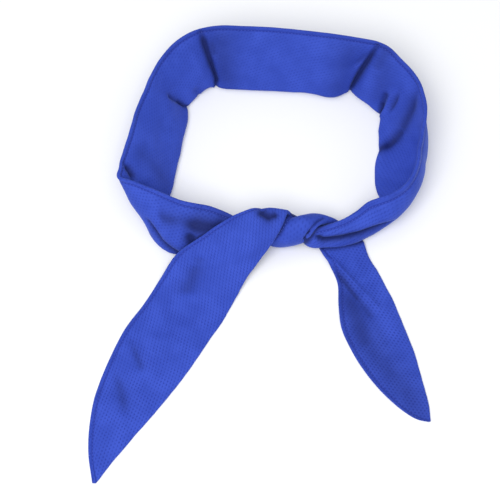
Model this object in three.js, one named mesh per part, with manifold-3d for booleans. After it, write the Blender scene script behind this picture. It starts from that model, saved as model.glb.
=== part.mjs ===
// Cooling neck wrap: one long strip of mesh cloth, folded along one edge and stitched along the
// other, padded in the middle, tied in front in a half knot and laid on a table.
// Millimetres, +X to the wearer's left, +Y to the back of the loop, +Z up.
import * as THREE from "three";
import Module from "manifold-3d";

// Driving sizes
const WRAP_WIDTH = 68; // flat width of the strip, from its fold to its hem
const LOOP_ACROSS = 250; // scale of the loop from side to side; its fold edge spans 0.76 of it
const LOOP_BACK = 190; // scale from front to back; the fold edge reaches back to 0.8 of it
const LEFT_TAIL = 246; // length of the left tail, from the knot to its tip
const RIGHT_TAIL = 165; // length of the right tail
const KNOT_HIGH = 32; // height of the knot
const PAD_THICK = 7; // thickness of the padded middle
const CLOTH_THICK = 2.4; // both layers of a tail
const GATHER_THICK = 7; // both layers gathered in the knot
const HEM_WIDTH = 2.6; // rolled lip outside the stitch line
const HEM_THICK = 2.8; // thickness of that lip
const GAP = 0.3; // clearance between two pieces

// Places that follow the sizes above
const KNOT_X = 0.136 * LOOP_ACROSS;
const KNOT_Y = 0.063 * LOOP_BACK;

// How finely the strip is cut into rings
const TAIL_STEP = 10;
const KNOT_STEP = 4;
const LOOP_STEP = 6.5;
const ACROSS = [0.17, 0.28, 0.39, 0.5, 0.61, 0.72, 0.83, 0.93];
const LOOK_ALONG = 0.5; // rows looked ahead and behind for the strip's direction
const CLEAR_OF_CUT = 0.35; // share of the spacing by which a ring keeps clear of a cut end

// The hem in section, as shares of its own sizes
const LIP_AT_MOST = 0.14; // of the strip's width, where a tail narrows
const LIP_FLANK = 0.6; // of the lip's width, where it begins to fall
const GROOVE_MIDDLE = 1.25; // of the lip's width
const GROOVE_END = 1.5; // of the lip's width
const GROOVE_THICK = 0.7; // of the plain cloth's thickness
const THINNEST = 0.6; // of the plain cloth's thickness
const SWELL_SHAPE = 0.6; // power of the sine by which the pad swells from its edges
const PARABOLA = 4; // makes place * (1 - place) reach 1 halfway across

const COLUMNS = ["x", "y", "z", "heading", "lean", "chord", "crown", "thick"];

// Every row is one cross-section. x, y and z place the fold edge, as shares of its table's sizes.
// heading and lean, in degrees, point from the fold to the hem. chord is the distance between
// them and crown the bulge of the outer face, as shares of the flat width. thick is a share of
// the table's thickness.
const RIGHT_TAIL_ROWS = [
  [0.634, -0.952, 0.006, 190, 0, 0.03, 0, 0.8],
  [0.634, -0.93, 0.006, 190, 0, 0.16, 0, 1],
  [0.627, -0.865, 0.006, 189, 0, 0.34, 0, 1],
  [0.609, -0.775, 0.006, 186, 0, 0.51, 0, 1],
  [0.588, -0.675, 0.006, 184, 0, 0.64, 0, 1],
  [0.56, -0.565, 0.006, 183, 0, 0.715, 0, 1],
  [0.522, -0.455, 0.006, 185, 0, 0.715, 0.01, 1],
  [0.48, -0.335, 0.006, 188, 0, 0.64, 0.02, 1.1],
  [0.426, -0.211, 0.006, 190, 0, 0.515, 0.03, 1.3],
  [0.378, -0.12, 0.01, 187, 0, 0.5, 0.04, 1.6],
];

const RIGHT_KNOT_ROWS = [
  [1.8, -0.16, 0.07, 188, 0, 0.54, 0, 0.5],
  [1.56, 0.17, 0.09, 192, -2, 0.43, 0, 0.7],
  [1.25, 0.22, 0.26, 182, -12, 0.36, 0.02, 0.8],
  [1.03, 0.17, 0.5, 171, -11, 0.38, 0.03, 0.85],
  [0.8, 0.04, 0.68, 172, 0, 0.4, 0.03, 0.85],
  [0.56, -0.11, 0.71, 174, 11, 0.4, 0.05, 0.9],
  [0.36, -0.2, 0.41, 182, 22, 0.42, 0.08, 0.9],
  [0.05, -0.17, 0.12, 191, 27, 0.37, 0.06, 0.85],
  [-0.38, 0, 0.06, 211, 26, 0.28, 0.03, 0.9],
  [-0.88, 0.03, 0.06, 198, 63, 0.31, 0.02, 0.9],
];

const LOOP_ROWS = [
  [-0.048, 0.04, 0.05, 90, 63, 0.34, 0.06, 0.9],
  [-0.128, -0.016, 0.014, 86, 46, 0.59, 0.17, 0.7],
  [-0.208, -0.03, 0.014, 93, 45, 0.69, 0.13, 0.7],
  [-0.276, 0.006, 0.014, 104, 47, 0.77, 0.08, 0.7],
  [-0.314, 0.084, 0.014, 122, 57, 0.76, 0.05, 0.7],
  [-0.304, 0.168, 0.014, 157.5, 55.5, 0.78, 0.07, 0.8],
  [-0.268, 0.242, 0.014, 171, 50, 0.84, 0.014, 0.9],
  [-0.25, 0.347, 0.014, 177, 49, 0.855, 0, 1],
  [-0.23, 0.5, 0.014, 177, 50, 0.84, 0, 1],
  [-0.214, 0.625, 0.014, 177, 53, 0.81, -0.01, 1],
  [-0.208, 0.7, 0.014, 173, 56, 0.79, 0.01, 0.8],
  [-0.184, 0.752, 0.014, 158, 58, 0.8, -0.02, 1.1],
  [-0.148, 0.792, 0.014, 135, 58, 0.81, -0.03, 1.1],
  [-0.112, 0.8, 0.014, 117, 55, 0.82, 0.01, 0.7],
  [-0.072, 0.791, 0.014, 100, 52, 0.84, 0, 0.9],
  [-0.02, 0.788, 0.014, 93, 51.5, 0.83, -0.01, 1],
  [0.084, 0.78, 0.014, 92, 51.5, 0.83, -0.01, 1],
  [0.184, 0.772, 0.014, 91, 53, 0.82, -0.01, 1],
  [0.286, 0.75, 0.014, 79, 53, 0.82, -0.02, 1.1],
  [0.338, 0.778, 0.014, 52, 60, 0.78, 0.03, 0.8],
  [0.37, 0.743, 0.014, 48, 57, 0.82, -0.03, 1],
  [0.408, 0.7, 0.014, 39, 57.5, 0.8, -0.02, 1],
  [0.436, 0.655, 0.014, 25, 58, 0.79, 0.04, 0.7],
  [0.43, 0.568, 0.014, -3, 54, 0.85, 0.14, 1],
  [0.424, 0.474, 0.014, -7, 54, 0.84, 0.285, 1.1],
  [0.412, 0.384, 0.014, -9, 55, 0.82, 0.325, 1.1],
  [0.412, 0.305, 0.014, -11, 57, 0.79, 0.3, 1],
  [0.424, 0.246, 0.014, -23, 64.5, 0.69, 0.23, 0.9],
  [0.442, 0.194, 0.014, -84, 81, 0.58, 0.18, 0.8],
  [0.436, 0.142, 0.014, 173, 76, 0.54, 0.18, 0.7],
  [0.404, 0.094, 0.014, 130, 70, 0.5, 0.15, 0.7],
  [0.36, 0.05, 0.04, 118, 62, 0.41, 0.12, 0.7],
];

const LEFT_KNOT_ROWS = [
  [1.31, -0.28, 0.16, 112, 52, 0.32, 0.09, 0.9],
  [0.81, -0.31, 0.16, 106, 61, 0.28, 0.06, 0.9],
  [0.44, -0.26, 0.16, 130, 75, 0.26, 0.02, 1],
  [0.19, 0.22, 0.5, 190, -55, 0.22, 0, 0.9],
  [0, 0.21, 0.8, 172, -25, 0.28, 0, 0.8],
  [-0.12, 0.17, 0.98, 170, -4, 0.36, 0.02, 0.7],
  [-0.22, -0.1, 0.98, 161, 3, 0.46, 0.03, 0.6],
  [-0.34, -0.31, 0.84, 160, 6, 0.58, 0.05, 0.5],
];

const LEFT_TAIL_ROWS = [
  [-0.067, -0.065, 0.085, 166, 8, 0.7, 0.08, 1.2],
  [-0.087, -0.09, 0.065, 167, 9, 0.77, 0.08, 1.1],
  [-0.128, -0.134, 0.034, 170, 6, 0.91, 0.05, 1],
  [-0.17, -0.199, 0.012, 171, 2, 0.945, 0.02, 1],
  [-0.215, -0.285, 0.004, 172, 0, 0.98, 0, 1],
  [-0.278, -0.386, 0.004, 171, 0, 0.98, 0, 1],
  [-0.343, -0.488, 0.004, 172, 0, 0.91, 0, 1],
  [-0.428, -0.603, 0.004, 166, 0, 0.73, 0, 1],
  [-0.506, -0.7, 0.004, 163, 0, 0.5, 0, 1],
  [-0.568, -0.781, 0.004, 154, 0, 0.275, 0, 1],
  [-0.608, -0.837, 0.004, 178, 0, 0.045, 0, 0.8],
];

// Main folds of the tied cloth. Each runs straight between two places: a row of its table and a
// share across from hem to fold. wide is half its width and deep how far the cloth moves towards
// its outer face, as shares of the flat width. through is the share of deep by which the face
// behind follows.
const FOLD_COLUMNS = [
  "table", "row", "place", "toRow", "toPlace", "wide", "deep", "through",
];
const FOLDS = [
  // creases at the two back corners
  ["loop", 13, 0.12, 13, 1, 0.06, 0.06, 0.35],
  ["loop", 19.3, 0.12, 19, 1, 0.06, 0.055, 0.35],
  // short creases that run in from the fold
  ["loop", 9.6, 0.6, 9.8, 1, 0.05, 0.03, 0.35],
  ["loop", 21.5, 0.6, 22, 1, 0.06, 0.045, 0.35],
  ["loop", 23.3, 0.6, 24.2, 1, 0.07, 0.045, 0.35],
  // the right leg, doubled along its length, and the valley along the left leg
  ["loop", 29.2, 0.56, 32.2, 0.46, 0.05, -0.07, 1],
  ["loop", 2.6, 0.24, 1, 0.32, 0.09, -0.06, 1],
  // pit under the left tail's rolled root
  ["leftKnot", 5.2, 0.2, 5.7, 0.6, 0.06, -0.06, 0.6],
  // ridge down the right tail
  ["rightTail", 8.9, 0.15, 7.6, 0.44, 0.08, -0.045, 1],
  ["rightTail", 7.6, 0.44, 6.5, 0.7, 0.08, -0.03, 1],
];
const FOLD_FALL = 1.5; // power by which a fold's side falls away from its line

const radians = THREE.MathUtils.degToRad;

// One table row as the two edge points, the bulge and the thickness, in millimetres
function section(row, base) {
  const share = Object.fromEntries(COLUMNS.map((name, i) => [name, row[i]]));
  const fold = new THREE.Vector3(
    base.x + share.x * base.acrossX,
    base.y + share.y * base.acrossY,
    share.z * base.high,
  );
  const level = Math.cos(radians(share.lean));
  const toHem = new THREE.Vector3(
    level * Math.cos(radians(share.heading)),
    level * Math.sin(radians(share.heading)),
    Math.sin(radians(share.lean)),
  );
  return {
    fold,
    hem: fold.clone().addScaledVector(toHem, share.chord * WRAP_WIDTH),
    shape: new THREE.Vector3(share.crown * WRAP_WIDTH, share.thick * base.thick, 0),
    step: base.step,
  };
}

function sections(rows, base) {
  return rows.map((row) => section(row, base));
}

const loopBase = {
  x: 0, y: 0, acrossX: LOOP_ACROSS, acrossY: LOOP_BACK, high: WRAP_WIDTH,
  thick: PAD_THICK, step: LOOP_STEP,
};
const knotBase = {
  x: KNOT_X, y: KNOT_Y, acrossX: KNOT_HIGH, acrossY: KNOT_HIGH, high: KNOT_HIGH,
  thick: GATHER_THICK, step: KNOT_STEP,
};

function tailBase(length) {
  return {
    x: KNOT_X, y: KNOT_Y, acrossX: length, acrossY: length, high: length,
    thick: CLOTH_THICK, step: TAIL_STEP,
  };
}

// The whole strip, from the tip of the right tail to the tip of the left one
const rightTail = sections(RIGHT_TAIL_ROWS, tailBase(RIGHT_TAIL));
const rightKnot = sections(RIGHT_KNOT_ROWS, knotBase);
const loop = sections(LOOP_ROWS, loopBase);
const leftKnot = sections(LEFT_KNOT_ROWS, knotBase);
const leftTail = sections(LEFT_TAIL_ROWS, tailBase(LEFT_TAIL));
const strip = [...rightTail, ...rightKnot, ...loop, ...leftKnot, ...leftTail];

// Rows of the loop where the padding ends and the plain ties begin
const FIRST_PADDED = 6;
const LAST_PADDED = 27;
const knotStart = rightTail.length;
const loopStart = knotStart + rightKnot.length;
const wrapStart = loopStart + loop.length;
const tableStart = { rightTail: 0, rightKnot: knotStart, loop: loopStart, leftKnot: wrapStart };
const leftSeam = loopStart + FIRST_PADDED;
const rightSeam = loopStart + LAST_PADDED;

const hemLine = new THREE.CatmullRomCurve3(strip.map((s) => s.hem));
const foldLine = new THREE.CatmullRomCurve3(strip.map((s) => s.fold));
const shapeLine = new THREE.CatmullRomCurve3(strip.map((s) => s.shape), false, "catmullrom");

// The strip's edges, bulge and thickness at a row number, which may lie between two rows
function at(row) {
  const share = row / (strip.length - 1);
  const shape = shapeLine.getPoint(share);
  return {
    hem: hemLine.getPoint(share),
    fold: foldLine.getPoint(share),
    crown: shape.x,
    thick: Math.max(shape.y, CLOTH_THICK * THINNEST),
  };
}

function centre(row) {
  const here = at(row);
  return here.hem.lerp(here.fold, 0.5);
}

function spacing(row) {
  return centre(row + 1).distanceTo(centre(row));
}

// Length of strip from its first tip to each row, and to places between two rows
const travelled = [0];
for (let row = 1; row < strip.length; row += 1) {
  travelled.push(travelled[row - 1] + spacing(row - 1));
}

function travelledTo(row) {
  const whole = Math.min(Math.floor(row), strip.length - 2);
  return THREE.MathUtils.lerp(travelled[whole], travelled[whole + 1], row - whole);
}

// A place of the strip in its flat cloth: length along it and distance from its fold
function flatPlace(row, place) {
  const here = at(row);
  return new THREE.Vector2(travelledTo(row), (1 - place) * here.hem.distanceTo(here.fold));
}

const folds = FOLDS.map((values) => {
  const fold = Object.fromEntries(FOLD_COLUMNS.map((name, i) => [name, values[i]]));
  const start = tableStart[fold.table];
  const line = new THREE.Line3(
    new THREE.Vector3(...flatPlace(start + fold.row, fold.place), 0),
    new THREE.Vector3(...flatPlace(start + fold.toRow, fold.toPlace), 0),
  );
  return { ...fold, line };
});

// How far the folds push the outer and the inner face outwards at a place of the flat cloth
function foldPush(along, fromFold) {
  const here = new THREE.Vector3(along, fromFold, 0);
  const nearest = new THREE.Vector3();
  const push = { outer: 0, inner: 0 };
  for (const { line, wide, deep, through } of folds) {
    const away = line.closestPointToPoint(here, true, nearest).distanceTo(here);
    const full = deep * WRAP_WIDTH * (1 + (away / (wide * WRAP_WIDTH)) ** 2) ** -FOLD_FALL;
    push.outer += deep < 0 ? full : full * through;
    push.inner += deep < 0 ? full * through : full;
  }
  return push;
}

// Row numbers of the rings between two places of the strip
function ringRows(from, to) {
  const rows = [from];
  for (let row = Math.floor(from); row < to; row += 1) {
    const cuts = Math.max(1, Math.round(spacing(Math.min(row, strip.length - 2)) / strip[row].step));
    for (let cut = 0; cut < cuts; cut += 1) {
      const place = row + cut / cuts;
      const clear = CLEAR_OF_CUT / cuts;
      if (place > from + clear && place < to - clear) rows.push(place);
    }
  }
  rows.push(to);
  return rows;
}

function lipShare(width) {
  return Math.min(HEM_WIDTH / width, LIP_AT_MOST);
}

// Shares across the strip from hem to fold: lip, stitch groove, then the cloth
function across(width) {
  const lip = lipShare(width);
  return [0, LIP_FLANK * lip, GROOVE_MIDDLE * lip, ...ACROSS, 1];
}

function thickness(place, width, thick) {
  const lip = lipShare(width);
  if (place < lip) return HEM_THICK;
  if (place < GROOVE_END * lip) return CLOTH_THICK * GROOVE_THICK;
  const swell = Math.max(0, Math.sin(Math.PI * place)) ** SWELL_SHAPE;
  return CLOTH_THICK + (thick - CLOTH_THICK) * swell;
}

// Middle surface of the cloth: one ring for each row number, its points from hem to fold, with the
// directions that the cloth's thickness is measured in
function middleSurface(rows) {
  return rows.map((row) => {
    const here = at(row);
    const ahead = at(Math.min(row + LOOK_ALONG, strip.length - 1));
    const behind = at(Math.max(row - LOOK_ALONG, 0));
    const alongHem = ahead.hem.clone().sub(behind.hem);
    const alongFold = ahead.fold.clone().sub(behind.fold);
    const toHem = here.hem.clone().sub(here.fold);
    const outward = toHem.clone().cross(alongHem.clone().add(alongFold)).normalize();
    const width = toHem.length();
    const places = across(width);
    const points = [];
    const normals = [];
    const pushes = [];
    for (const place of places) {
      const bulge = here.crown * PARABOLA * place * (1 - place);
      const rise = here.crown * PARABOLA * (1 - 2 * place);
      const slope = outward.clone().multiplyScalar(rise).sub(toHem);
      points.push(here.hem.clone().lerp(here.fold, place).addScaledVector(outward, bulge));
      normals.push(alongHem.clone().lerp(alongFold, place).cross(slope).normalize());
      pushes.push(foldPush(travelledTo(row), (1 - place) * width));
    }
    return { points, normals, pushes, places, width, thick: here.thick };
  });
}

// A closed cloth body between two rows, thicker by twice the clearance where it is a cutter
function clothBody(from, to, clearance = 0) {
  const rings = middleSurface(ringRows(from, to));
  const count = rings[0].points.length;
  const positions = [];
  const last = rings.length - 1;
  rings.forEach((ring) => {
    const outer = [];
    const inner = [];
    ring.points.forEach((point, j) => {
      const half = thickness(ring.places[j], ring.width, ring.thick) / 2 + clearance;
      const push = ring.pushes[j];
      outer.push(point.clone().addScaledVector(ring.normals[j], push.outer + half));
      inner.push(point.clone().addScaledVector(ring.normals[j], push.inner - half));
    });
    const spread = ring.points[count - 1].clone().sub(ring.points[0]).normalize();
    for (const face of [outer, inner]) {
      face[0].addScaledVector(spread, -clearance);
      face[count - 1].addScaledVector(spread, clearance);
    }
    for (const point of [...outer, ...inner.reverse()]) {
      positions.push(point.x, point.y, Math.max(point.z, -clearance));
    }
  });

  const around = 2 * count;
  const index = [];
  for (let i = 0; i < last; i += 1) {
    for (let j = 0; j < around; j += 1) {
      const next = (j + 1) % around;
      const a = i * around + j;
      const b = i * around + next;
      index.push(a, a + around, b, b, a + around, b + around);
    }
  }
  for (const [ring, flip] of [[0, false], [last, true]]) {
    for (let j = 0; j < count - 1; j += 1) {
      const a = ring * around + j;
      const b = ring * around + j + 1;
      const c = ring * around + around - 2 - j;
      const d = ring * around + around - 1 - j;
      if (flip) index.push(a, c, b, a, d, c);
      else index.push(a, b, c, a, c, d);
    }
  }
  const geometry = new THREE.BufferGeometry();
  geometry.setAttribute("position", new THREE.Float32BufferAttribute(positions, 3));
  geometry.setIndex(index);
  return geometry;
}

const wasm = await Module();
wasm.setup();

function solid(geometry) {
  return new wasm.Manifold(
    new wasm.Mesh({
      numProp: 3,
      vertProperties: new Float32Array(geometry.attributes.position.array),
      triVerts: new Uint32Array(geometry.index.array),
    }),
  );
}

function largest(body) {
  return body.decompose().reduce((best, one) => (one.volume() > best.volume() ? one : best));
}

function geometryOf(body) {
  const mesh = body.getMesh();
  const geometry = new THREE.BufferGeometry();
  geometry.setAttribute("position", new THREE.Float32BufferAttribute(mesh.vertProperties, 3));
  geometry.setIndex(Array.from(mesh.triVerts));
  return geometry;
}

// The gap at a seam, as a share of the row that follows it
function seamShare(row) {
  return GAP / spacing(row);
}

const tipEnd = strip.length - 1;
const leftEnd = leftSeam - seamShare(leftSeam - 1);
const rightEnd = rightSeam + seamShare(rightSeam);

// The left tie wraps over the knot, so the right tie and the padding are cut clear of it
const leftTie = clothBody(0, leftEnd);
const leftTieRoom = solid(clothBody(0, leftSeam, GAP));
const rightTie = largest(solid(clothBody(rightEnd, tipEnd)).subtract(leftTieRoom));
const rightTieRoom = solid(clothBody(rightSeam, tipEnd, GAP));
const wholePadding = solid(clothBody(leftSeam, rightSeam));
const padding = largest(wholePadding.subtract(leftTieRoom).subtract(rightTieRoom));

const pieces = {
  neck_band: { geometry: geometryOf(padding), color: 0x2f49b4 },
  left_tie: { geometry: leftTie, color: 0x2d46ae },
  right_tie: { geometry: geometryOf(rightTie), color: 0x3350bd },
};

const wrap = new THREE.Group();
for (const [name, { geometry, color }] of Object.entries(pieces)) {
  const cloth = new THREE.MeshStandardMaterial({ color, roughness: 0.85, metalness: 0 });
  const mesh = new THREE.Mesh(geometry, cloth);
  mesh.name = name;
  wrap.add(mesh);
}

// The origin is under the middle of the whole wrap, on the table
const box = new THREE.Box3().setFromObject(wrap);
const middle = box.getCenter(new THREE.Vector3());
wrap.position.set(-middle.x, -middle.y, -box.min.z);

export default wrap;
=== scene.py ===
# Cooling neck wrap: one strip of mesh knit, folded along one edge and stitched along the other,
# padded in the middle, tied in front in a half knot and laid on a table.
import math

import bmesh
import bpy
import numpy as np
from mathutils import Matrix, Vector
from mathutils.bvhtree import BVHTree


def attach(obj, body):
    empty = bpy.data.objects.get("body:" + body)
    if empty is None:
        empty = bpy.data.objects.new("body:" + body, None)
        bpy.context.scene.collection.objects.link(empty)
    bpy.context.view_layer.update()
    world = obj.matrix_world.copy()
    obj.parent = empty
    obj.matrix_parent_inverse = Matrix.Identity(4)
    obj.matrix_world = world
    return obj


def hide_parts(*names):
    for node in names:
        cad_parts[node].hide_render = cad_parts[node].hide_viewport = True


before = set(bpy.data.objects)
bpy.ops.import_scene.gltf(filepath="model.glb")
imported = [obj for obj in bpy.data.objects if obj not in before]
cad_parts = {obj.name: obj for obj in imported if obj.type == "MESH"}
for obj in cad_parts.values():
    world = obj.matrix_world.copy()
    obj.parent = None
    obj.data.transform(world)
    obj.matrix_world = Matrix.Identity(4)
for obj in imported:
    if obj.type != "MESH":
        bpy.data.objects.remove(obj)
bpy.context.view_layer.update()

# Sizes of the wrap, in metres
MM = 0.001
WRAP_WIDTH = 68 * MM
LOOP_ACROSS = 250 * MM
LOOP_BACK = 190 * MM
LEFT_TAIL = 246 * MM
RIGHT_TAIL = 165 * MM
KNOT_HIGH = 32 * MM
PAD_THICK = 7 * MM
CLOTH_THICK = 2.4 * MM
GATHER_THICK = 7 * MM
HEM_WIDTH = 2.6 * MM
HEM_THICK = 2.8 * MM

# Middle of the knot, from the table's zero
KNOT_X = 0.136 * LOOP_ACROSS
KNOT_Y = 0.063 * LOOP_BACK

# Photograph's view: where the camera stands over the table, and its lens
LOOK_DOWN = math.radians(65)
CAMERA_AWAY = 1.2
LENS = 107
SENSOR = 36

# The table's zero, in the frame, is where the camera looks
TABLE_ZERO = Vector((-11.34 * MM, 3.83 * MM, 0))

# How finely the cloth is cut: along the strip, and across each part of its section
RING_STEP = 1.15 * MM
LIP_CUTS = 5
GROOVE_CUTS = 4
BODY_CUTS = 38
EDGE_CUTS = 5
LOOK_ALONG = 0.5  # rows to each side that give the strip's direction

# Points nearer than this are one point, a grid's points are told apart by this many decimals,
# and this stands in for the length of a vector that has none
TINY = 1e-6
DIGITS = 6
NO_LENGTH = 1e-12

# The strip in section. The lip and the groove are measured from the hem, the round edge from the
# fold. Halves are of the thickness.
LIP_AT_MOST = 0.14  # of the strip's width, where a tail narrows
LIP_ROUND = 0.62  # how far the lip's round section falls at its two sides
LIP_EDGE = 0.62  # half of the lip where the groove begins, as a share of its fullest half
GROOVE_END = 1.8  # of the lip's width
GROOVE_HALF = 0.3  # half at the bottom of the groove, of the plain cloth's thickness
SWELL_REACH = 2.2  # the padding is full at 1 / SWELL_REACH of the body's width
SWELL_SHAPE = 0.9  # power of its swelling
EDGE_AT_MOST = 0.25  # of the strip's width
SLIMMEST_SECTION = 0.6  # of the plain cloth's thickness
THINNEST = 1 * MM  # what a crease leaves between the two faces
FACES_MEET = 0.4  # of the plain cloth's thickness: nearer the edges both faces move together
FLOOR_EASE = 0.5 * MM  # how gently the cloth settles on the table

COLUMNS = ["x", "y", "z", "heading", "lean", "chord", "crown", "thick"]

# Every row is one cross-section. x, y and z place the fold edge, as shares of its table's sizes.
# heading and lean, in degrees, point from the fold to the hem. chord is the distance between
# them and crown the bulge of the outer face, as shares of the flat width. thick is a share of
# the table's thickness.
RIGHT_TAIL_ROWS = [
    [0.634, -0.952, 0.006, 190, 0, 0.03, 0, 0.8],
    [0.634, -0.93, 0.006, 190, 0, 0.16, 0, 1],
    [0.627, -0.865, 0.006, 189, 0, 0.34, 0, 1],
    [0.609, -0.775, 0.006, 186, 0, 0.51, 0, 1],
    [0.588, -0.675, 0.006, 184, 0, 0.64, 0, 1],
    [0.56, -0.565, 0.006, 183, 0, 0.715, 0, 1],
    [0.522, -0.455, 0.006, 185, 0, 0.715, 0.01, 1],
    [0.48, -0.335, 0.006, 188, 0, 0.64, 0.02, 1.1],
    [0.426, -0.211, 0.006, 190, 0, 0.515, 0.03, 1.3],
    [0.378, -0.12, 0.01, 187, 0, 0.5, 0.04, 1.6],
]

RIGHT_KNOT_ROWS = [
    [1.8, -0.16, 0.07, 188, 0, 0.54, 0, 0.5],
    [1.56, 0.17, 0.09, 192, -2, 0.43, 0, 0.7],
    [1.25, 0.22, 0.26, 182, -12, 0.36, 0.02, 0.8],
    [1.03, 0.17, 0.5, 171, -11, 0.38, 0.03, 0.85],
    [0.8, 0.04, 0.68, 172, 0, 0.4, 0.03, 0.85],
    [0.56, -0.11, 0.71, 174, 11, 0.4, 0.05, 0.9],
    [0.36, -0.2, 0.41, 182, 22, 0.42, 0.08, 0.9],
    [0.05, -0.17, 0.12, 191, 27, 0.37, 0.06, 0.85],
    [-0.38, 0, 0.06, 211, 26, 0.28, 0.03, 0.9],
    [-0.88, 0.03, 0.06, 198, 63, 0.31, 0.02, 0.9],
]

LOOP_ROWS = [
    [-0.048, 0.04, 0.05, 90, 63, 0.34, 0.06, 0.9],
    [-0.128, -0.016, 0.014, 86, 46, 0.59, 0.17, 0.7],
    [-0.208, -0.03, 0.014, 93, 45, 0.69, 0.13, 0.7],
    [-0.276, 0.006, 0.014, 104, 47, 0.77, 0.08, 0.7],
    [-0.314, 0.084, 0.014, 122, 57, 0.76, 0.05, 0.7],
    [-0.304, 0.168, 0.014, 157.5, 55.5, 0.78, 0.07, 0.8],
    [-0.268, 0.242, 0.014, 171, 50, 0.84, 0.014, 0.9],
    [-0.25, 0.347, 0.014, 177, 49, 0.855, 0, 1],
    [-0.23, 0.5, 0.014, 177, 50, 0.84, 0, 1],
    [-0.214, 0.625, 0.014, 177, 53, 0.81, -0.01, 1],
    [-0.208, 0.7, 0.014, 173, 56, 0.79, 0.01, 0.8],
    [-0.184, 0.752, 0.014, 158, 58, 0.8, -0.02, 1.1],
    [-0.148, 0.792, 0.014, 135, 58, 0.81, -0.03, 1.1],
    [-0.112, 0.8, 0.014, 117, 55, 0.82, 0.01, 0.7],
    [-0.072, 0.791, 0.014, 100, 52, 0.84, 0, 0.9],
    [-0.02, 0.788, 0.014, 93, 51.5, 0.83, -0.01, 1],
    [0.084, 0.78, 0.014, 92, 51.5, 0.83, -0.01, 1],
    [0.184, 0.772, 0.014, 91, 53, 0.82, -0.01, 1],
    [0.286, 0.75, 0.014, 79, 53, 0.82, -0.02, 1.1],
    [0.338, 0.778, 0.014, 52, 60, 0.78, 0.03, 0.8],
    [0.37, 0.743, 0.014, 48, 57, 0.82, -0.03, 1],
    [0.408, 0.7, 0.014, 39, 57.5, 0.8, -0.02, 1],
    [0.436, 0.655, 0.014, 25, 58, 0.79, 0.04, 0.7],
    [0.43, 0.568, 0.014, -3, 54, 0.85, 0.14, 1],
    [0.424, 0.474, 0.014, -7, 54, 0.84, 0.285, 1.1],
    [0.412, 0.384, 0.014, -9, 55, 0.82, 0.325, 1.1],
    [0.412, 0.305, 0.014, -11, 57, 0.79, 0.3, 1],
    [0.424, 0.246, 0.014, -23, 64.5, 0.69, 0.23, 0.9],
    [0.442, 0.194, 0.014, -84, 81, 0.58, 0.18, 0.8],
    [0.436, 0.142, 0.014, 173, 76, 0.54, 0.18, 0.7],
    [0.404, 0.094, 0.014, 130, 70, 0.5, 0.15, 0.7],
    [0.36, 0.05, 0.04, 118, 62, 0.41, 0.12, 0.7],
]

LEFT_KNOT_ROWS = [
    [1.31, -0.28, 0.16, 112, 52, 0.32, 0.09, 0.9],
    [0.81, -0.31, 0.16, 106, 61, 0.28, 0.06, 0.9],
    [0.44, -0.26, 0.16, 130, 75, 0.26, 0.02, 1],
    [0.19, 0.22, 0.5, 190, -55, 0.22, 0, 0.9],
    [0, 0.21, 0.8, 172, -25, 0.28, 0, 0.8],
    [-0.12, 0.17, 0.98, 170, -4, 0.36, 0.02, 0.7],
    [-0.22, -0.1, 0.98, 161, 3, 0.46, 0.03, 0.6],
    [-0.34, -0.31, 0.84, 160, 6, 0.58, 0.05, 0.5],
]

LEFT_TAIL_ROWS = [
    [-0.067, -0.065, 0.085, 166, 8, 0.7, 0.08, 1.2],
    [-0.087, -0.09, 0.065, 167, 9, 0.77, 0.08, 1.1],
    [-0.128, -0.134, 0.034, 170, 6, 0.91, 0.05, 1],
    [-0.17, -0.199, 0.012, 171, 2, 0.945, 0.02, 1],
    [-0.215, -0.285, 0.004, 172, 0, 0.98, 0, 1],
    [-0.278, -0.386, 0.004, 171, 0, 0.98, 0, 1],
    [-0.343, -0.488, 0.004, 172, 0, 0.91, 0, 1],
    [-0.428, -0.603, 0.004, 166, 0, 0.73, 0, 1],
    [-0.506, -0.7, 0.004, 163, 0, 0.5, 0, 1],
    [-0.568, -0.781, 0.004, 154, 0, 0.275, 0, 1],
    [-0.608, -0.837, 0.004, 178, 0, 0.045, 0, 0.8],
]

# Rows of the loop where the padding ends and the plain ties begin
FIRST_PADDED = 6
LAST_PADDED = 27

# Row numbers where each table begins in the whole strip
KNOT_ROW = len(RIGHT_TAIL_ROWS)
LOOP_ROW = KNOT_ROW + len(RIGHT_KNOT_ROWS)
WRAP_ROW = LOOP_ROW + len(LOOP_ROWS)
TAIL_ROW = WRAP_ROW + len(LEFT_KNOT_ROWS)
LAST_ROW = TAIL_ROW + len(LEFT_TAIL_ROWS) - 1

TABLE_ROW = {
    "right_tail": 0,
    "right_knot": KNOT_ROW,
    "loop": LOOP_ROW,
    "left_knot": WRAP_ROW,
    "left_tail": TAIL_ROW,
}

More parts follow.
